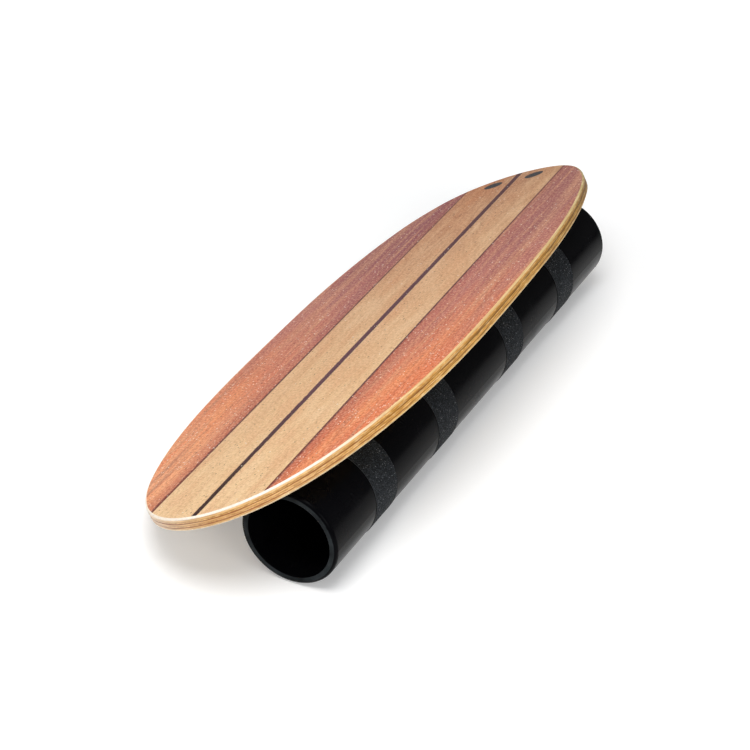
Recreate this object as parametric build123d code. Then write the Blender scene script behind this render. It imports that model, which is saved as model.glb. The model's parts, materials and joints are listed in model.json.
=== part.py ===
from build123d import *
import math
import os

# Roller balance board: a laminated deck leaning on a hollow roller, left rail on the floor.
# Millimetres, +Z up. The roller runs along Y, the deck's nose points to -Y and its tail to +Y.
# The origin is on the floor, at the middle of the whole object's footprint.

# Roller
roller_length = 734.5
roller_radius = 57.15
roller_wall = 8.6
roller_end_round = 4.6
roller_bore_round = 0.8

# Grip bands round the roller
band_width = 48.0
band_thickness = 0.6
band_inner_spacing = 184.0
band_outer_spacing = 492.0
band_shift = -6.0

# Deck outline: a half superellipse at each end, meeting at the widest point
deck_width = 364.8
nose_length = 404.5
nose_power = 2.24
tail_length = 481.0
tail_power = 2.74
outline_spans = 3

# Deck section
ply_count = 7
deck_thickness = 15.7
deck_round_top = 2.1
deck_round_bottom = 3.3

# Decorative face veneer, let in flush with the top
face_thickness = 0.5
field_half_width = 75.3
border_line_width = 2.6
stringer_width = 9.0
dot_length = 18.0
dot_width = 28.0
dot_spacing = 64.0
dot_inset = 25.5

# Stop rails screwed under the deck
stop_length = 320.0
stop_width = 14.0
stop_height = 8.0
stop_edge_inset = 51.75
stop_edge_round = 2.0
screw_radius = 2.0
screw_head_radius = 4.2
screw_head_height = 2.6
screw_clearance = 0.3
screw_socket_radius = 1.8
screw_socket_depth = 1.4
screw_count = 3
screw_pitch = 130.0
screw_bite_plies = 4

# How the deck lies on the roller
deck_yaw = 1.77
deck_offset_across = 60.0
deck_offset_along = 11.0
contact_gap = 0.3

# Sizes that follow
band_radius = roller_radius + band_thickness
bore_radius = roller_radius - roller_wall
ply_thickness = deck_thickness / ply_count
deck_length = nose_length + tail_length
half_width = deck_width / 2
widest_y = nose_length - deck_length / 2
underside_distance = band_radius + contact_gap
stop_x = half_width - stop_edge_inset
screw_bite = screw_bite_plies * ply_thickness


def outline_point(angle, end):
    """A point on the right half of the outline and the unit tangent towards the tail there.

    The angle runs from 0 at the tip to 90 degrees at the widest point. The end is -1 for the nose
    and 1 for the tail.
    """
    length, power = (tail_length, tail_power) if end > 0 else (nose_length, nose_power)
    across = abs(math.sin(angle)) ** (2 / power)
    along = abs(math.cos(angle)) ** (2 / power)
    lean_across = across ** (power - 1) / half_width
    lean_along = along ** (power - 1) / length
    point = Vector(half_width * across, widest_y + end * length * along)
    tangent = Vector(-end * lean_along, lean_across)
    return point, tangent.normalized()


def right_outline():
    """Knots of the right half of the outline, from the nose tip to the tail tip."""
    angles = [math.pi / 2 * step / outline_spans for step in range(outline_spans + 1)]
    nose = [outline_point(angle, -1) for angle in angles]
    tail = [outline_point(angle, 1) for angle in angles]
    return nose[:-1] + tail[::-1]


def tangent_arcs(start, start_way, finish, finish_way):
    """Two arcs that meet smoothly between two knots and follow both tangents."""
    step = finish - start
    bend = 2 * (1 - start_way.dot(finish_way))
    pull = step.dot(start_way + finish_way)
    reach_out = (math.sqrt(pull * pull + bend * step.dot(step)) - pull) / bend
    joint = (start + finish + (start_way - finish_way) * reach_out) / 2
    first = TangentArc(start, joint, tangent=start_way)
    second = TangentArc(finish, joint, tangent=finish_way * -1)
    return [first, second]


def reach(side):
    """How far the yawed deck reaches from the contact line, to the left (-1) or right (1)."""
    turn = math.radians(deck_yaw)
    spans = []
    for step in range(-90, 91):
        point = outline_point(math.radians(90 - abs(step)), math.copysign(1, step))[0]
        for x in (-point.X, point.X):
            spans.append(side * (x * math.cos(turn) - point.Y * math.sin(turn)))
    return max(spans) - side * deck_offset_across


def floor_tilt(side):
    """Slope at which the rail on that side touches the floor, in degrees."""
    out = reach(side) - deck_round_bottom
    up = underside_distance + deck_round_bottom
    drop = band_radius - deck_round_bottom
    return math.degrees(math.asin(drop / math.hypot(out, up)) + math.atan2(up, out))


# Deck in its own frame: X across, Y along, underside at Z = 0
knots = right_outline()
arcs = []
for (start, start_way), (finish, finish_way) in zip(knots, knots[1:]):
    arcs += tangent_arcs(start, start_way, finish, finish_way)
arcs += [mirror(arc, about=Plane.YZ) for arc in arcs]
outline = make_face(arcs)
blank = extrude(outline, amount=deck_thickness, dir=(0, 0, 1))
top_edges = blank.edges().group_by(Axis.Z)[-1]
blank = fillet(top_edges, deck_round_top)
bottom_edges = blank.edges().group_by(Axis.Z)[0]
blank = fillet(bottom_edges, deck_round_bottom)

face_plan = blank.faces().sort_by(Axis.Z)[-1]
face_sheet = extrude(face_plan, amount=face_thickness, dir=(0, 0, -1))


def layer(bottom, top):
    """A block wider and longer than the deck, between two heights."""
    return Pos(0, 0, (bottom + top) / 2) * Box(deck_width * 2, deck_length * 2, top - bottom)


def stripe(left, right):
    """A block longer and thicker than the deck, between two distances from its centre line."""
    return Pos((left + right) / 2, 0, 0) * Box(right - left, deck_length * 2, deck_thickness * 4)


def screw_spots(side):
    """Centres of one stop rail's screws on the underside."""
    first_y = widest_y - (screw_count - 1) / 2 * screw_pitch
    return [Pos(side * stop_x, first_y + index * screw_pitch, 0) for index in range(screw_count)]


deck_parts = {}

# Plies
for index in range(ply_count):
    low = index * ply_thickness
    ply = blank & layer(low, low + ply_thickness)
    if index < screw_bite_plies:
        for side in (-1, 1):
            for spot in screw_spots(side):
                ply -= spot * Pos(0, 0, screw_bite / 2) * Cylinder(screw_radius, screw_bite)
    if index == ply_count - 1:
        ply -= face_sheet
    deck_parts[f"deck_ply_{index + 1}"] = ply

# Face veneer strips, from the middle out
line_out = field_half_width + border_line_width
stringer_half = stringer_width / 2
strips = {
    "face_stringer": (-stringer_half, stringer_half),
    "face_field_left": (-field_half_width, -stringer_half),
    "face_field_right": (stringer_half, field_half_width),
    "face_line_left": (-line_out, -field_half_width),
    "face_line_right": (field_half_width, line_out),
    "face_band_left": (-deck_width, -line_out),
    "face_band_right": (line_out, deck_width),
}
for name, (left, right) in strips.items():
    deck_parts[name] = face_sheet & stripe(left, right)

# Tail dots, let into the fields
dot_y = deck_length / 2 - dot_inset
for side, name in ((-1, "left"), (1, "right")):
    dot_place = Pos(side * dot_spacing / 2, dot_y, deck_thickness - face_thickness)
    dot = extrude(dot_place * Ellipse(dot_width / 2, dot_length / 2), amount=face_thickness)
    deck_parts[f"face_field_{name}"] -= dot
    deck_parts[f"tail_dot_{name}"] = dot

# Stop rails and their screws
for side, name in ((-1, "left"), (1, "right")):
    plan_place = Pos(side * stop_x, widest_y, -stop_height) * Rot(0, 0, 90)
    rail = extrude(plan_place * SlotOverall(stop_length, stop_width), amount=stop_height)
    low_edges = rail.edges().group_by(Axis.Z)[0]
    rail = fillet(low_edges, stop_edge_round)
    head_low = -stop_height + screw_clearance
    seat = head_low + screw_head_height
    hole = Pos(0, 0, -stop_height / 2) * Cylinder(screw_radius + screw_clearance, stop_height)
    sink_place = Pos(0, 0, (seat - stop_height) / 2)
    sink = sink_place * Cylinder(screw_head_radius + screw_clearance, seat + stop_height)
    head = Pos(0, 0, head_low + screw_head_height / 2) * Cylinder(screw_head_radius, screw_head_height)
    shank = Pos(0, 0, (seat + screw_bite) / 2) * Cylinder(screw_radius, screw_bite - seat)
    socket = extrude(Pos(0, 0, head_low) * RegularPolygon(screw_socket_radius, 6), amount=screw_socket_depth)
    screws = Part()
    for spot in screw_spots(side):
        rail -= spot * (hole + sink)
        screws += spot * (head + shank - socket)
    deck_parts[f"stop_rail_{name}"] = rail
    deck_parts[f"stop_screws_{name}"] = screws

# Roller about its own axis, lying along Y
tube = Cylinder(roller_radius, roller_length) - Cylinder(bore_radius, roller_length)
inner_ends = tube.edges().filter_by(GeomType.CIRCLE).group_by(SortBy.RADIUS)[0]
tube = fillet(inner_ends, roller_bore_round)
outer_ends = tube.edges().filter_by(GeomType.CIRCLE).group_by(SortBy.RADIUS)[-1]
tube = fillet(outer_ends, roller_end_round)
along_y = Rot(-90, 0, 0)
roller_parts = {"roller_tube": along_y * tube}
band = Cylinder(band_radius, band_width) - Cylinder(roller_radius, band_width)
band_spacings = (-band_outer_spacing, -band_inner_spacing, band_inner_spacing, band_outer_spacing)
for index, spacing in enumerate(band_spacings):
    roller_parts[f"grip_band_{index + 1}"] = Pos(0, spacing / 2 + band_shift, 0) * along_y * band

# Assembly: the deck is yawed, set over the contact line, then tilted until its left rail is down
tilt = floor_tilt(-1)
over_contact = Pos(-deck_offset_across, deck_offset_along, underside_distance)
deck_place = Rot(0, -tilt, 0) * over_contact * Rot(0, 0, deck_yaw)
parts = {}
for name, shape in roller_parts.items():
    parts[name] = Pos(0, 0, band_radius) * shape
for name, shape in deck_parts.items():
    parts[name] = Pos(0, 0, band_radius) * deck_place * shape

boxes = [shape.bounding_box() for shape in parts.values()]
middle_x = (min(box.min.X for box in boxes) + max(box.max.X for box in boxes)) / 2
middle_y = (min(box.min.Y for box in boxes) + max(box.max.Y for box in boxes)) / 2
to_origin = Pos(-middle_x, -middle_y, 0)

os.makedirs("parts", exist_ok=True)
for name, shape in parts.items():
    export_step(to_origin * shape, f"parts/{name}.step")
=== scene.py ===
import json
import math
from collections import namedtuple

import bpy
from mathutils import Matrix, Vector

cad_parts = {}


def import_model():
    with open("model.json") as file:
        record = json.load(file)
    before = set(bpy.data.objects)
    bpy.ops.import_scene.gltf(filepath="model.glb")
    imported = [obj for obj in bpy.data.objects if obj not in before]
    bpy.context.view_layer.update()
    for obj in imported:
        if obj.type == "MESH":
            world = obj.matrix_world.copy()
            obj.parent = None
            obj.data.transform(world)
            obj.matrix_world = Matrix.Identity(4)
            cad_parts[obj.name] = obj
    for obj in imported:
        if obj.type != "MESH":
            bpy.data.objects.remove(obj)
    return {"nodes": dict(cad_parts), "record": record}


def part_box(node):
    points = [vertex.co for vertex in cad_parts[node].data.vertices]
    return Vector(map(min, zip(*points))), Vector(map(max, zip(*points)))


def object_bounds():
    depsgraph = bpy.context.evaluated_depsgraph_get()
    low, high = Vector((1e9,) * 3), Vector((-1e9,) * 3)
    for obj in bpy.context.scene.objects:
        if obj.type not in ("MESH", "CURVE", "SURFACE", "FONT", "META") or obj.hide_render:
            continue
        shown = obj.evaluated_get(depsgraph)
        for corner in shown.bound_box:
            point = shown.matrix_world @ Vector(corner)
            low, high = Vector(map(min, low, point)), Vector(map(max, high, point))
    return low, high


# Roller balance board. Every visible piece is a CAD node, dressed here in a procedural material.
# Metres, in the CAD's frame. The deck's materials work in the deck's own frame: X runs across it,
# Y from the nose to the tail, and Z is 0 at the top.
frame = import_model()
cad_low, cad_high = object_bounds()
nodes = frame["nodes"]
deck_mount = frame["record"]["mounts"][0]

MM = 0.001
ply_count = 7
band_count = 4


# Places, read from the frame
def strip_direction(points, normal):
    """Direction of a long straight strip: the one that its sides stray least from."""
    finest_turn = 0.0002
    turns = 300
    across = Vector((0, 1, 0)).cross(normal).normalized()
    along = normal.cross(across)
    flat = [(point.dot(across), point.dot(along)) for point in points]

    def width(angle):
        sides = [x * math.cos(angle) - y * math.sin(angle) for x, y in flat]
        return max(sides) - min(sides)

    angle = min((step * finest_turn for step in range(-turns, turns + 1)), key=width)
    return along * math.cos(angle) + across * math.sin(angle)


def deck_axes():
    """Rotation, centre and half length of the deck's own frame."""
    normal = Vector(deck_mount["axis"]).normalized()
    points = [vertex.co for vertex in nodes["face_stringer"].data.vertices]
    along = strip_direction(points, normal)
    across = along.cross(normal)
    turn = Matrix((across, along, normal)).transposed()
    middle = sum(points, Vector()) / len(points)

    def ends(axis):
        reach = [axis.dot(point - middle) for point in points]
        return min(reach), max(reach)

    nose, tail = ends(along)
    left, right = ends(across)
    top = ends(normal)[1]
    centre = middle + along * (nose + tail) / 2 + across * (left + right) / 2 + normal * top
    return turn, centre, (tail - nose) / 2


deck_turn, deck_centre, deck_half = deck_axes()
tube_low, tube_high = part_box("roller_tube")
tube_centre = (tube_low + tube_high) / 2
tube_half = (tube_high.y - tube_low.y) / 2


def deck_extent(node):
    """Lowest and highest corner of a CAD node in the deck's own frame."""
    to_deck = deck_turn.transposed()
    points = [to_deck @ (vertex.co - deck_centre) for vertex in nodes[node].data.vertices]
    low = Vector([min(point[axis] for point in points) for axis in range(3)])
    high = Vector([max(point[axis] for point in points) for axis in range(3)])
    return low, high


# Heights of the plies' faces, from the underside up to the top
ply_undersides = [deck_extent(f"deck_ply_{index + 1}")[0].z for index in range(ply_count)]
ply_levels = ply_undersides + [0.0]
stringer_half = deck_extent("face_stringer")[1].x
field_half = deck_extent("face_field_right")[1].x
line_half = deck_extent("face_line_right")[1].x
deck_half_width = deck_extent("face_band_right")[1].x


# Node helpers
def srgb(red, green, blue):
    """A colour given in 0 to 255 as it looks on a screen."""
    linear = []
    for value in (red, green, blue):
        value /= 255
        linear.append(value / 12.92 if value <= 0.04045 else ((value + 0.055) / 1.055) ** 2.4)
    return (*linear, 1.0)


def waves(*sizes):
    """Waves a metre along each axis, for grain of those sizes in millimetres."""
    return tuple(1 / (size * MM) for size in sizes)


class Tree:
    """The node tree of a material or a world, built with one call a node."""

    def __init__(self, owner, output="ShaderNodeOutputMaterial"):
        self.owner = owner
        owner.use_nodes = True
        self.nodes = owner.node_tree.nodes
        self.links = owner.node_tree.links
        self.nodes.clear()
        self.out = self.nodes.new(output)

    def put(self, socket, value):
        if isinstance(value, bpy.types.NodeSocket):
            self.links.new(value, socket)
        else:
            socket.default_value = value

    def node(self, kind, inputs=None, **settings):
        """A node with its settings. Each input is a value or another node's socket."""
        made = self.nodes.new(kind)
        for key, value in settings.items():
            setattr(made, key, value)
        for key, value in (inputs or {}).items():
            self.put(made.inputs[key], value)
        return made

    def close(self, shader):
        """Ends the tree with its last shader."""
        self.put(self.out.inputs[0], shader.outputs[0])
        return self.owner

    # Numbers
    def maths(self, operation, *values, clamp=False):
        made = self.node("ShaderNodeMath", operation=operation, use_clamp=clamp)
        for socket, value in zip(made.inputs, values):
            self.put(socket, value)
        return made.outputs[0]

    def product(self, first, *others):
        for other in others:
            first = self.maths("MULTIPLY", first, other)
        return first

    def gap(self, first, second):
        return self.maths("ABSOLUTE", self.maths("SUBTRACT", first, second))

    def span(self, value, low, high, out_low=0.0, out_high=1.0, smooth=False):
        """Runs from out_low where the value is low to out_high where it is high."""
        made = self.node("ShaderNodeMapRange", clamp=True)
        if smooth:
            made.interpolation_type = "SMOOTHSTEP"
        for socket, number in zip(made.inputs, (value, low, high, out_low, out_high)):
            self.put(socket, number)
        return made.outputs[0]

    def fade(self, value, none, full, most=1.0):
        """A share: 0 where the value is none, the most where it is full."""
        return self.span(value, none, full, 0.0, most)

    # Places
    def vector(self, operation, first, second):
        inputs = {0: first, 1: second}
        return self.node("ShaderNodeVectorMath", inputs, operation=operation).outputs[0]

    def axes(self, place):
        return self.node("ShaderNodeSeparateXYZ", {0: place}).outputs

    def own_space(self):
        return self.node("ShaderNodeTexCoord").outputs["Object"]

    def deck_space(self):
        """Metres in the deck's own frame, fixed to the piece."""
        inputs = {"Vector": self.own_space()}
        inputs["Location"] = deck_centre
        inputs["Rotation"] = deck_turn.to_euler()
        return self.node("ShaderNodeMapping", inputs, vector_type="TEXTURE").outputs[0]

    def roller_space(self):
        """Metres from the roller's centre, fixed to the piece."""
        return self.vector("SUBTRACT", self.own_space(), tube_centre)

    # Patterns
    def noise(self, place, density, detail=3.0, roughness=0.55, distortion=0.0):
        """Noise of that many waves a metre: one number, or one for each axis."""
        scale = density
        if isinstance(density, tuple):
            place = self.vector("MULTIPLY", place, density)
            scale = 1.0
        inputs = {"Vector": place, "Scale": scale, "Detail": detail, "Roughness": roughness}
        inputs["Distortion"] = distortion
        return self.node("ShaderNodeTexNoise", inputs).outputs["Fac"]

    def cells(self, place, pitch):
        """How far off the nearest cell's middle is, in pitches, and that cell's random values."""
        inputs = {"Vector": place, "Scale": 1 / pitch, "Randomness": 1.0}
        made = self.node("ShaderNodeTexVoronoi", inputs)
        picked = self.node("ShaderNodeSeparateColor", {"Color": made.outputs["Color"]})
        return made.outputs["Distance"], picked.outputs

    def specks(self, place, pitch, smallest, largest, share):
        """1 on round specks of those radii, at most one a cell, in that share of the cells."""
        distance, picked = self.cells(place, pitch)
        radius = self.span(picked[1], 0, 1, smallest / pitch, largest / pitch)
        near = self.maths("LESS_THAN", distance, radius)
        return self.product(near, self.maths("LESS_THAN", picked[0], share))

    # Colours
    def ramp(self, value, stops):
        made = self.node("ShaderNodeValToRGB", {0: value})
        elements = made.color_ramp.elements
        elements[0].position, elements[0].color = stops[0]
        elements[1].position, elements[1].color = stops[-1]
        for position, colour in stops[1:-1]:
            elements.new(position).color = colour
        return made.outputs[0]

    def tint(self, base, colour, share):
        """The base with that share of another colour."""
        made = self.node("ShaderNodeMix", data_type="RGBA")
        self.put(made.inputs["Factor"], share)
        self.put(made.inputs[6], base)
        self.put(made.inputs[7], colour)
        return made.outputs[2]

    def stain(self, base, colour, value, none, full, most=1.0):
        """The base with another colour where the value goes from none to full."""
        return self.tint(base, colour, self.fade(value, none, full, most))

    # Surfaces
    def bump(self, height, depth, strength, under=None):
        inputs = {"Height": height, "Distance": depth, "Strength": strength}
        if under is not None:
            inputs["Normal"] = under
        return self.node("ShaderNodeBump", inputs).outputs[0]

    def surface(self, colour, rough, normal, level=0.5, metal=0.0):
        """Ends a material with its colour, roughness, normal, specular level and metallic share."""
        inputs = {"Base Color": colour, "Roughness": rough, "Normal": normal}
        inputs["Specular IOR Level"] = level
        inputs["Metallic"] = metal
        return self.close(self.node("ShaderNodeBsdfPrincipled", inputs))


def material(name):
    return Tree(bpy.data.materials.new(name))


def dress(names, made):
    """Gives CAD nodes one material."""
    for name in names:
        piece = nodes[name]
        if not piece.material_slots:
            piece.data.materials.append(made)
        for holder in piece.material_slots:
            holder.link = "OBJECT"
            holder.material = made


# Deck face
def deck_places(tree):
    """The place in the deck's frame, the distance right of its centre line, and the share along it.

    The share runs from 0 at the nose tip to 1 at the tail tip.
    """
    place = tree.deck_space()
    x, y, _ = tree.axes(place)
    return place, x, tree.span(y, -deck_half, deck_half)


def streaks(tree, place, across, along, shift, detail=3):
    """Noise drawn out along the deck, in metres across and along. The shift picks a part of it."""
    moved = tree.vector("ADD", place, (shift, shift, 0))
    density = (1 / across, 1 / along, 1 / across)
    return tree.noise(moved, density, detail, roughness=0.6, distortion=0.3)


def face_finish(tree, place, colour, grain, grit_glint_share, pale=0.56, deep=0.6):
    """Clear coat with fine grit over a face colour: grit grains painted bright as glints, dark
    pinholes and a sandy bump.

    grain is the wood's own height, grit_glint_share the largest share of the cells that hold a grit
    grain painted bright as a glint, pale how far the sand lightens and deep how far it darkens.
    """
    sand_size = 3.4 * MM
    grain_pitch = 2.6 * MM
    pinhole_pitch = 5.2 * MM
    pinhole_radius = 1.0 * MM
    flat = tree.vector("MULTIPLY", place, (1, 1, 0))
    sand = tree.noise(flat, 1 / sand_size, detail=4, roughness=0.8)
    colour = tree.stain(colour, srgb(118, 68, 54), sand, none=0.5, full=0.32, most=deep)
    colour = tree.stain(colour, srgb(252, 220, 184), sand, none=0.5, full=0.68, most=pale)
    cloud = tree.noise(flat, 24)
    share = tree.product(tree.span(cloud, 0.42, 0.62, 0.1, 1), grit_glint_share)
    # Grit grains, painted bright as glints; they also raise the bump.
    grains = tree.specks(flat, grain_pitch, 0.14 * grain_pitch, 0.36 * grain_pitch, share)
    pinholes = tree.specks(flat, pinhole_pitch, pinhole_radius, pinhole_radius, share=0.13)
    colour = tree.tint(colour, srgb(84, 52, 40), tree.product(pinholes, 0.72))
    # Painted glints: the grit grains tinted near white.
    colour = tree.tint(colour, srgb(255, 246, 230), tree.product(grains, 0.95))
    height = tree.maths("MULTIPLY_ADD", sand, 0.8, grain)
    height = tree.maths("ADD", height, grains)
    normal = tree.bump(height, 0.14 * MM, 0.5)
    rough = tree.span(sand, 0.3, 0.7, 0.5, 0.66)
    return tree.surface(colour, rough, normal, level=0.14)


def maple_colour(tree, place, x, share):
    """Pale maple, browner and more figured towards the tail, with painted light on its right there.
    The fine grain comes with it.
    """
    ring_density = 160.0
    ring_bend = 150.0
    base = tree.ramp(share, [
        (0.0, srgb(244, 206, 156)),
        (0.3, srgb(234, 192, 144)),
        (0.62, srgb(222, 176, 134)),
        (0.85, srgb(206, 158, 122)),
        (1.0, srgb(182, 130, 100)),
    ])
    broad = streaks(tree, place, 15 * MM, 240 * MM, shift=3.1)
    base = tree.stain(base, srgb(204, 142, 98), broad, none=0.4, full=0.68, most=0.42)
    pale = streaks(tree, place, 10 * MM, 190 * MM, shift=7.7)
    base = tree.stain(base, srgb(244, 208, 162), pale, none=0.5, full=0.72, most=0.4)
    patch = tree.noise(place, (24, 11, 0))
    base = tree.stain(base, srgb(246, 212, 170), patch, none=0.5, full=0.64, most=0.3)
    base = tree.stain(base, srgb(222, 158, 116), patch, none=0.48, full=0.36, most=0.3)

    bend = tree.noise(place, (7, 2.2, 0), detail=2)
    rings = tree.maths("MULTIPLY_ADD", bend, ring_bend, tree.product(x, ring_density))
    rings = tree.fade(tree.maths("SINE", rings), none=0.2, full=1.0, most=0.3)
    figured = tree.product(tree.fade(share, none=0.45, full=0.9), rings)
    base = tree.tint(base, srgb(158, 100, 70), figured)

    # Painted light: the maple lighter on the right towards the tail.
    right = tree.fade(x, none=0, full=50 * MM)
    lit = tree.product(right, tree.fade(share, none=0.35, full=0.75, most=0.2))
    base = tree.tint(base, srgb(232, 186, 140), lit)
    left = tree.fade(x, none=0, full=-50 * MM)
    brown = tree.product(left, tree.fade(share, none=0.6, full=0.95, most=0.45))
    base = tree.tint(base, srgb(194, 118, 76), brown)

    fine = streaks(tree, place, 1.1 * MM, 13 * MM, detail=4, shift=1.3)
    base = tree.stain(base, srgb(176, 116, 78), fine, none=0.5, full=0.76, most=0.26)
    flecks = streaks(tree, place, 1.2 * MM, 3.4 * MM, detail=2, shift=5.9)
    base = tree.stain(base, srgb(146, 90, 62), flecks, none=0.62, full=0.74, most=0.46)
    return base, fine


def maple_face():
    tree = material("maple_face")
    place, x, share = deck_places(tree)
    colour, fine = maple_colour(tree, place, x, share)
    return face_finish(tree, place, colour, fine, grit_glint_share=0.03, pale=0.5, deep=0.42)


def red_tone(tree, place, out, share):
    """Orange by the nose and the rails, mauve by the tail and the borders, with bright streaks."""
    broad = streaks(tree, place, 22 * MM, 300 * MM, shift=2.3)
    lean = tree.span(share, 0.3, 0.62, -0.34, -0.16)
    cool = tree.maths("MULTIPLY_ADD", out, lean, share)
    cool = tree.maths("MULTIPLY_ADD", broad, 0.7, cool)
    cool = tree.maths("SUBTRACT", cool, 0.2)
    base = tree.ramp(cool, [
        (0.0, srgb(242, 138, 88)),
        (0.2, srgb(224, 124, 86)),
        (0.42, srgb(210, 126, 100)),
        (0.66, srgb(190, 116, 106)),
        (0.95, srgb(152, 86, 94)),
    ])
    warm = streaks(tree, place, 12 * MM, 210 * MM, shift=12.6)
    glow = tree.product(
        tree.fade(warm, none=0.42, full=0.6),
        tree.fade(share, none=0.62, full=0.3, most=0.5),
        tree.span(out, 0.1, 0.6, 0.2, 1),
        tree.span(out, 0.7, 0.98, 1, 0.3),
    )
    base = tree.tint(base, srgb(240, 120, 66), glow)
    pale = streaks(tree, place, 9 * MM, 240 * MM, shift=9.4)
    return tree.stain(base, srgb(226, 166, 126), pale, none=0.5, full=0.72, most=0.6)


def red_track(tree, place, base, side, share):
    """One bowed streak along each band: an ember in its near half, a pale blur in its far half."""
    furthest_out = 145 * MM
    furthest_at = 0.58
    bow_depth = -180 * MM
    widest_sway = 30 * MM
    bow = tree.maths("POWER", tree.maths("SUBTRACT", share, furthest_at), 2.0)
    track = tree.maths("MULTIPLY_ADD", bow, bow_depth, furthest_out)
    sway = tree.maths("SUBTRACT", tree.noise(place, (0, 4.5, 0), detail=2), 0.5)
    track = tree.maths("MULTIPLY_ADD", sway, widest_sway, track)
    gap = tree.gap(side, track)
    torn = streaks(tree, place, 3 * MM, 60 * MM, shift=15.2)
    blur = tree.product(
        tree.fade(gap, none=13 * MM, full=2 * MM),
        tree.fade(share, none=0.35, full=0.62, most=0.6),
        tree.span(torn, 0.36, 0.56, 0.25, 1),
    )
    base = tree.tint(base, srgb(216, 158, 124), blur)
    ember = tree.product(
        tree.fade(gap, none=20 * MM, full=2 * MM),
        tree.fade(share, none=0.5, full=0.3, most=0.7),
        tree.span(torn, 0.3, 0.5, 0.4, 1),
    )
    return tree.tint(base, srgb(248, 152, 96), ember)


def red_shading(tree, place, base, x, border, share):
    """Painted light on the left by the nose; lighter on the right by the tail and deeper next to
    the borders.
    """
    light = streaks(tree, place, 10 * MM, 170 * MM, shift=21.4)
    # Painted light: the face paler on the left by the nose, in streaks.
    near = tree.product(
        tree.fade(x, none=20 * MM, full=-120 * MM),
        tree.fade(share, none=0.42, full=0.1, most=0.5),
        tree.span(light, 0.38, 0.56, 0.45, 1.7),
    )
    base = tree.tint(base, srgb(252, 184, 136), near)
    far = tree.product(
        tree.fade(x, none=-20 * MM, full=100 * MM),
        tree.fade(share, none=0.55, full=0.85, most=0.18),
    )
    base = tree.tint(base, srgb(222, 164, 134), far)
    deep = streaks(tree, place, 8 * MM, 130 * MM, shift=4.8)
    base = tree.stain(base, srgb(152, 78, 70), deep, none=0.5, full=0.7, most=0.5)
    inner = tree.product(
        tree.fade(border, none=26 * MM, full=2 * MM, most=0.6),
        tree.span(share, 0.6, 0.35, 0.15, 1),
    )
    return tree.tint(base, srgb(182, 84, 62), inner)


def red_seam(tree, place, base, border, share):
    """A dark ragged seam beside the border line, widest and most solid by the nose."""
    ragged = tree.noise(place, (110, 40, 0))
    widest = tree.span(share, 0.1, 0.6, 4.0 * MM, 2.4 * MM)
    thinnest = tree.span(share, 0.1, 0.5, 1.7 * MM, 0.6 * MM)
    width = tree.span(ragged, 0.3, 0.65, thinnest, widest)
    solid = tree.product(width, tree.span(share, 0.2, 0.5, 0.6, 0.1))
    return tree.tint(base, srgb(116, 48, 46), tree.span(border, solid, width, 0.92, 0))


def red_face():
    """Red-brown stained veneer."""
    tree = material("red_face")
    place, x, share = deck_places(tree)
    side = tree.maths("ABSOLUTE", x)
    border = tree.maths("SUBTRACT", side, line_half)
    base = red_tone(tree, place, tree.span(side, line_half, deck_half_width), share)
    base = red_track(tree, place, base, side, share)
    base = red_shading(tree, place, base, x, border, share)
    base = red_seam(tree, place, base, border, share)
    fine = streaks(tree, place, 1.1 * MM, 22 * MM, detail=4, shift=6.6)
    base = tree.stain(base, srgb(122, 66, 60), fine, none=0.5, full=0.76, most=0.2)
    return face_finish(tree, place, base, fine, grit_glint_share=tree.span(share, 0.45, 0.8, 0.3, 0.1))


def inlay_face(name, half, dark, worn, faded, centre=0.0, taper=1.0):
    """A dark inlaid line whose edges and ink are a little worn.

    half is its half width, centre how far from the deck's centre line it lies, and taper how many
    times narrower it looks at the nose. The inks follow one another from the nose to the tail.
    """
    tree = material(name)
    place, x, share = deck_places(tree)
    maple, fine = maple_colour(tree, place, x, share)
    ink = tree.ramp(share, [(0.0, dark), (0.09, dark), (0.3, worn), (0.55, worn), (0.9, faded)])
    rubbed = streaks(tree, place, 1.4 * MM, 3.6 * MM, shift=8.1)
    rubbed = tree.product(
        tree.fade(rubbed, none=0.52, full=0.75, most=0.45),
        tree.span(share, 0.06, 0.16, 0.2, 1),
    )
    ink = tree.tint(ink, srgb(150, 108, 106), rubbed)
    off = tree.gap(tree.maths("ABSOLUTE", x), centre)
    wander = tree.fade(tree.noise(place, (160, 60, 0)), none=0.55, full=0.8)
    edge = tree.maths("MULTIPLY_ADD", wander, half * 0.5, off)
    edge = tree.product(edge, tree.span(share, 0.05, 0.35, taper, 1.0))
    colour = tree.stain(ink, maple, edge, none=half, full=half * 1.12)
    chips = streaks(tree, place, 1.1 * MM, 2.0 * MM, detail=2, shift=2.9)
    colour = tree.stain(colour, srgb(206, 164, 140), chips, none=0.66, full=0.72, most=0.55)
    return face_finish(tree, place, colour, fine, grit_glint_share=0.03, pale=0.1)


def stringer_face():
    dark = srgb(34, 4, 14)
    worn = srgb(88, 56, 70)
    faded = srgb(88, 60, 66)
    return inlay_face("stringer_face", stringer_half, dark, worn, faded, taper=1.25)


def line_face():
    dark = srgb(112, 48, 38)
    worn = srgb(96, 58, 62)
    faded = srgb(128, 86, 78)
    half = (line_half - field_half) / 2
    centre = (line_half + field_half) / 2
    return inlay_face("line_face", half, dark, worn, faded, centre)


def dot_face():
    tree = material("slate_dot")
    place = tree.deck_space()
    flat = tree.vector("MULTIPLY", place, (1, 1, 0))
    grain = tree.noise(flat, 1 / (1.3 * MM), detail=4)
    colour = tree.ramp(grain, [(0.3, srgb(40, 50, 56)), (0.7, srgb(66, 76, 82))])
    return face_finish(tree, place, colour, grain, grit_glint_share=0.02, pale=0.15)


# Plies, as seen at the deck's rim, from the bottom up. The tints are those at the nose, in the
# middle and at the tail, figure is how strongly the grain shows, cross turns it across the deck,
# and joint is how dark the glue joint over the ply looks.
Ply = namedtuple("Ply", "slot tints figure cross joint")

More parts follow.
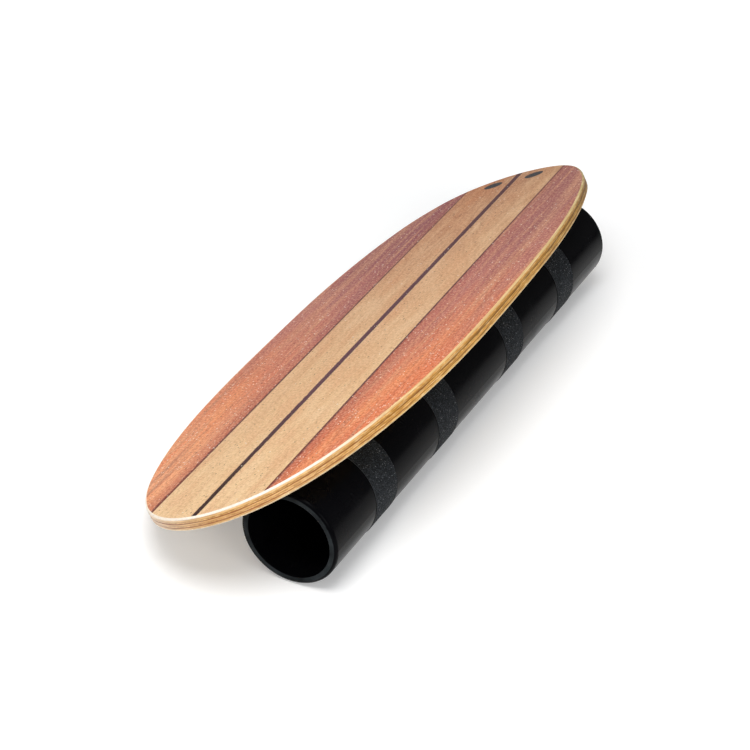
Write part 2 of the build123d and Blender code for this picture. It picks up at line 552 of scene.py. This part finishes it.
ivory = (srgb(246, 218, 176), srgb(242, 206, 144), srgb(226, 190, 132))
butter = (srgb(222, 172, 106), srgb(232, 178, 94), srgb(200, 154, 76))
gold = (srgb(224, 174, 108), srgb(228, 170, 84), srgb(196, 150, 70))
straw = (srgb(230, 180, 112), srgb(228, 172, 86), srgb(190, 145, 62))
toast = (srgb(222, 172, 100), srgb(194, 138, 58), srgb(160, 114, 38))
honey = (srgb(242, 196, 128), srgb(234, 174, 90), srgb(204, 154, 76))
# Top ply: pale veneer with a painted highlight of its rounded top edge, whitest at the nose.
cream_and_highlight = (srgb(255, 244, 230), srgb(230, 192, 134), srgb(216, 190, 132))

plies = [
    Ply("veneer_pale", ivory, figure=0.7, cross=False, joint=0.0),
    Ply("ply_gold", butter, figure=0.8, cross=True, joint=0.8),
    Ply("ply_brown", gold, figure=1.0, cross=False, joint=0.3),
    Ply("ply_gold", straw, figure=0.8, cross=True, joint=0.9),
    Ply("ply_brown", toast, figure=1.0, cross=False, joint=0.3),
    Ply("ply_gold", honey, figure=0.7, cross=True, joint=0.2),
    Ply("veneer_pale", cream_and_highlight, figure=0.35, cross=False, joint=0.0),
]


def ply_colour(tree, x, share, ply, fine, broad):
    """Tints from the nose to the tail with light and dark grain, and painted light that pales the
    nose's left.
    """
    tip_darkening = 0.66
    nose, middle, tail = ply.tints
    tip = tuple(value * tip_darkening for value in tail)
    stops = [(0.0, nose), (0.06, nose), (0.2, middle), (0.5, middle), (0.8, tail), (0.95, tip)]
    base = tree.ramp(share, stops)
    dark = tree.tint(base, srgb(134, 78, 28), 0.55)
    light = tree.tint(base, srgb(255, 232, 186), 0.6)
    base = tree.stain(base, dark, broad, none=0.48, full=0.62, most=0.95 * ply.figure)
    base = tree.stain(base, light, broad, none=0.47, full=0.32, most=0.85)
    base = tree.stain(base, dark, fine, none=0.5, full=0.75, most=0.6 * ply.figure)
    # Painted light: the rim paler on the nose's left.
    rim_painted_light = tree.product(
        tree.fade(x, none=20 * MM, full=-90 * MM),
        tree.fade(share, none=0.2, full=0.06, most=0.55),
    )
    return tree.tint(base, srgb(255, 240, 218), rim_painted_light)


def glue_joints(tree, place, share, base, joints):
    """Broken dark lines at a ply's faces. The joints map each face's level to how dark it looks."""
    height = tree.axes(place)[2]
    dashes = tree.noise(place, (34, 34, 1 / (1.6 * MM)))
    widest = tree.span(share, 0.1, 0.45, 1.2 * MM, 1.5 * MM)
    thinnest = tree.span(share, 0.1, 0.3, 0.5 * MM, 0.2 * MM)
    width = tree.span(dashes, 0.36, 0.62, thinnest, widest)
    glue = tree.ramp(share, [
        (0.0, srgb(136, 54, 30)),
        (0.12, srgb(124, 54, 22)),
        (0.4, srgb(92, 46, 14)),
    ])
    for level, darkness in joints.items():
        off = tree.maths("DIVIDE", tree.gap(height, level), width)
        line = tree.maths("SUBTRACT", 1.15, off, clamp=True)
        base = tree.tint(base, glue, tree.product(line, darkness))
    return base


def ply_wood(index, ply):
    tree = material(f"ply_wood_{index + 1}")
    place, x, share = deck_places(tree)
    fine_grain = waves(30, 1.6, 0.8) if ply.cross else waves(1.2, 12, 0.45)
    broad_grain = waves(60, 9, 1.6) if ply.cross else waves(4, 60, 1.1)
    fine = tree.noise(place, fine_grain, roughness=0.6)
    broad = tree.noise(place, broad_grain, roughness=0.6)
    base = ply_colour(tree, x, share, ply, fine, broad)
    below = plies[index - 1].joint if index else 0.0
    joints = {ply_levels[index + 1]: ply.joint, ply_levels[index]: below}
    base = glue_joints(tree, place, share, base, joints)
    normal = tree.bump(tree.maths("MULTIPLY_ADD", broad, 0.6, fine), 0.12 * MM, 0.45)
    return tree.surface(base, tree.span(fine, 0.3, 0.7, 0.38, 0.55), normal, level=0.3)


# Roller
def roller_plastic():
    """Satin black pipe: faint draw lines along it, scuffs, and a duller sawn face at each end."""
    lines_round = 60.0
    tree = material("roller_plastic")
    place = tree.roller_space()
    x, y, z = tree.axes(place)
    angle = tree.maths("ARCTAN2", x, z)
    inputs = {0: tree.product(angle, lines_round), 1: y}
    unrolled = tree.node("ShaderNodeCombineXYZ", inputs).outputs[0]
    lines = tree.noise(unrolled, (1, 9, 1), detail=4, roughness=0.65)
    haze = tree.noise(place, 22, detail=4)
    scuff = tree.noise(place, (90, 900, 90), detail=5, roughness=0.7)
    end = tree.maths("ABSOLUTE", y)
    end = tree.fade(end, none=tube_half - 0.35 * MM, full=tube_half - 0.15 * MM)
    colour = tree.ramp(haze, [(0.3, srgb(3, 3, 5)), (0.7, srgb(7, 7, 9))])
    colour = tree.stain(colour, srgb(40, 40, 43), scuff, none=0.66, full=0.8, most=0.25)
    rubbed = tree.noise(place, (22, 0, 22))
    sawn = tree.ramp(rubbed, [(0.38, srgb(17, 19, 21)), (0.62, srgb(46, 50, 52))])
    colour = tree.tint(colour, sawn, end)
    rough = tree.span(haze, 0.3, 0.7, 0.2, 0.29)
    rough = tree.maths("MAXIMUM", rough, tree.product(end, 0.6))
    normal = tree.bump(lines, 0.05 * MM, 0.4)
    saw = tree.noise(place, 1 / (0.9 * MM))
    normal = tree.bump(tree.product(saw, end), 0.08 * MM, 0.5, under=normal)
    return tree.surface(colour, rough, normal, level=0.029)


def grip_tape():
    """Charcoal anti-slip tape: packed grit with scattered bright grains, and side faces painted
    lighter as a highlight on the edges.
    """
    tree = material("grip_tape")
    place = tree.roller_space()
    distance, picked = tree.cells(place, 0.75 * MM)
    tone = tree.ramp(picked[0], [
        (0.0, srgb(12, 14, 17)),
        (0.7, srgb(31, 34, 38)),
        (1.0, srgb(74, 78, 82)),
    ])
    cloud = tree.noise(place, 60, detail=4)
    tone = tree.stain(tone, srgb(20, 23, 26), cloud, none=0.35, full=0.65, most=0.4)
    bright = tree.specks(place, 2.6 * MM, smallest=0.5 * MM, largest=0.5 * MM, share=0.35)
    tone = tree.tint(tone, srgb(150, 154, 156), tree.product(bright, 0.6))
    # Painted highlight: the band's side faces tinted lighter.
    facing = tree.node("ShaderNodeTexCoord").outputs["Normal"]
    edge_painted_light = tree.maths("ABSOLUTE", tree.axes(facing)[1])
    tone = tree.stain(tone, srgb(72, 75, 77), edge_painted_light, none=0.5, full=0.9)
    normal = tree.bump(tree.maths("SUBTRACT", 1.0, distance), 0.35 * MM, 0.9)
    rough = tree.span(picked[1], 0, 1, 0.55, 0.9)
    return tree.surface(tone, rough, normal, level=0.08)


# Stops and screws
def stop_rubber():
    tree = material("stop_rubber")
    place = tree.deck_space()
    grain = tree.noise(place, 1 / (0.6 * MM), detail=4)
    dust = tree.noise(place, (60, 14, 60), detail=4)
    colour = tree.ramp(grain, [(0.3, srgb(28, 28, 29)), (0.7, srgb(42, 42, 43))])
    colour = tree.stain(colour, srgb(96, 92, 86), dust, none=0.55, full=0.75, most=0.2)
    normal = tree.bump(grain, 0.12 * MM, 0.6)
    return tree.surface(colour, tree.span(dust, 0.3, 0.7, 0.5, 0.72), normal)


def screw_steel():
    tree = material("screw_steel")
    turned = tree.noise(tree.deck_space(), (900, 900, 4000))
    colour = tree.ramp(turned, [(0.3, srgb(176, 176, 178)), (0.7, srgb(208, 208, 208))])
    rough = tree.span(turned, 0.3, 0.7, 0.22, 0.4)
    normal = tree.bump(turned, 0.03 * MM, 0.5)
    return tree.surface(colour, rough, normal, metal=1.0)


dress(["face_field_left", "face_field_right"], maple_face())
dress(["face_band_left", "face_band_right"], red_face())
dress(["face_stringer"], stringer_face())
dress(["face_line_left", "face_line_right"], line_face())
dress(["tail_dot_left", "tail_dot_right"], dot_face())
for index, ply in enumerate(plies):
    dress([f"deck_ply_{index + 1}"], ply_wood(index, ply))
dress(["roller_tube"], roller_plastic())
dress([f"grip_band_{index + 1}" for index in range(band_count)], grip_tape())
dress(["stop_rail_left", "stop_rail_right"], stop_rubber())
dress(["stop_screws_left", "stop_screws_right"], screw_steel())


# Stage, lights and camera
def floor_paper():
    """White paper: lifted to white for the camera away from the board, dimmer in reflections.

    Reflections see it end in the dark, and the camera sees through it from below.
    """
    glow_in_reflections = 0.42
    lift_by_board = 0.26
    lift_from = 0.45
    dark_from = 0.5
    table_reach = 1.25
    tree = material("floor_paper")
    seen = tree.node("ShaderNodeLightPath").outputs
    direct = tree.maths("MAXIMUM", seen["Is Camera Ray"], seen["Is Transmission Ray"])
    mirrored = tree.product(seen["Is Glossy Ray"], glow_in_reflections)
    away = tree.node("ShaderNodeVectorMath", {0: tree.own_space()}, operation="LENGTH")
    away = away.outputs["Value"]
    lift = tree.span(away, lift_from, table_reach, lift_by_board, 1.0, smooth=True)
    show = tree.maths("MULTIPLY_ADD", direct, lift, mirrored)
    paper = tree.node("ShaderNodeBsdfDiffuse", {"Color": (0.82, 0.82, 0.82, 1)})
    glow = tree.node("ShaderNodeEmission", {"Color": (1, 1, 1, 1), "Strength": show})
    lit = tree.node("ShaderNodeAddShader", {0: paper.outputs[0], 1: glow.outputs[0]})
    dark = tree.node("ShaderNodeBsdfDiffuse", {"Color": (0.03, 0.03, 0.03, 1)})
    past = tree.span(away, dark_from, table_reach, smooth=True)
    past = tree.product(past, seen["Is Glossy Ray"])
    table = tree.node("ShaderNodeMixShader", {0: past, 1: lit.outputs[0], 2: dark.outputs[0]})
    clear = tree.node("ShaderNodeBsdfTransparent")
    back = tree.node("ShaderNodeNewGeometry").outputs["Backfacing"]
    under = tree.product(back, seen["Is Camera Ray"])
    inputs = {0: under, 1: table.outputs[0], 2: clear.outputs[0]}
    return tree.close(tree.node("ShaderNodeMixShader", inputs))


def floor():
    size = 6.0
    below_object = 0.02 * MM
    corners = [(-size, -size, 0), (size, -size, 0), (size, size, 0), (-size, size, 0)]
    mesh = bpy.data.meshes.new("floor")
    mesh.from_pydata(corners, [], [(0, 1, 2, 3)])
    mesh.materials.append(floor_paper())
    made = bpy.data.objects.new("floor", mesh)
    made.location.z = cad_low.z - below_object
    bpy.context.collection.objects.link(made)


def world():
    """A dim studio. The camera sees it white, and reflections see a little of that white."""
    white_in_reflections = 0.1
    studio = bpy.data.worlds.new("studio")
    bpy.context.scene.world = studio
    tree = Tree(studio, "ShaderNodeOutputWorld")
    seen = tree.node("ShaderNodeLightPath").outputs
    direct = tree.maths("MAXIMUM", seen["Is Camera Ray"], seen["Is Transmission Ray"])
    show = tree.maths("MULTIPLY_ADD", seen["Is Glossy Ray"], white_in_reflections, direct)
    soft = tree.node("ShaderNodeBackground", {"Color": (0.96, 0.98, 1.0, 1), "Strength": 0.3})
    white = tree.node("ShaderNodeBackground", {"Color": (1, 1, 1, 1), "Strength": 1.0})
    inputs = {0: show, 1: soft.outputs[0], 2: white.outputs[0]}
    tree.close(tree.node("ShaderNodeMixShader", inputs))


def lamp(name, place, aim, width, height, power):
    data = bpy.data.lights.new(name, "AREA")
    data.shape = "RECTANGLE"
    data.size = width
    data.size_y = height
    data.energy = power
    made = bpy.data.objects.new(name, data)
    made.location = place
    made.rotation_euler = (Vector(aim) - Vector(place)).to_track_quat("-Z", "Y").to_euler()
    bpy.context.collection.objects.link(made)


def camera(place, dip, heading, lens):
    """The photograph's camera. dip and heading are in radians, lens in millimetres."""
    data = bpy.data.cameras.new("camera")
    data.sensor_width = 36.0
    data.lens = lens
    data.clip_start = 0.05
    data.clip_end = 50.0
    made = bpy.data.objects.new("camera", data)
    made.location = place
    made.rotation_euler = (math.pi / 2 - dip, 0.0, heading)
    bpy.context.collection.objects.link(made)
    bpy.context.scene.camera = made


floor()
world()
lamp("key", place=(0.25, -0.8, 2.45), aim=(0, 0, 0.1), width=1.5, height=1.5, power=52)
lamp("fill", place=(2.3, -1.5, 1.3), aim=(0, 0, 0.1), width=1.4, height=1.2, power=18)
lamp("front", place=(-0.9, -2.1, 0.7), aim=(0, -0.4, 0.08), width=1.0, height=0.8, power=7)
camera(place=(0.98324, -1.9387, 1.3965), dip=0.5636, heading=0.47294, lens=102.97)
bpy.context.scene.view_settings.view_transform = "Standard"
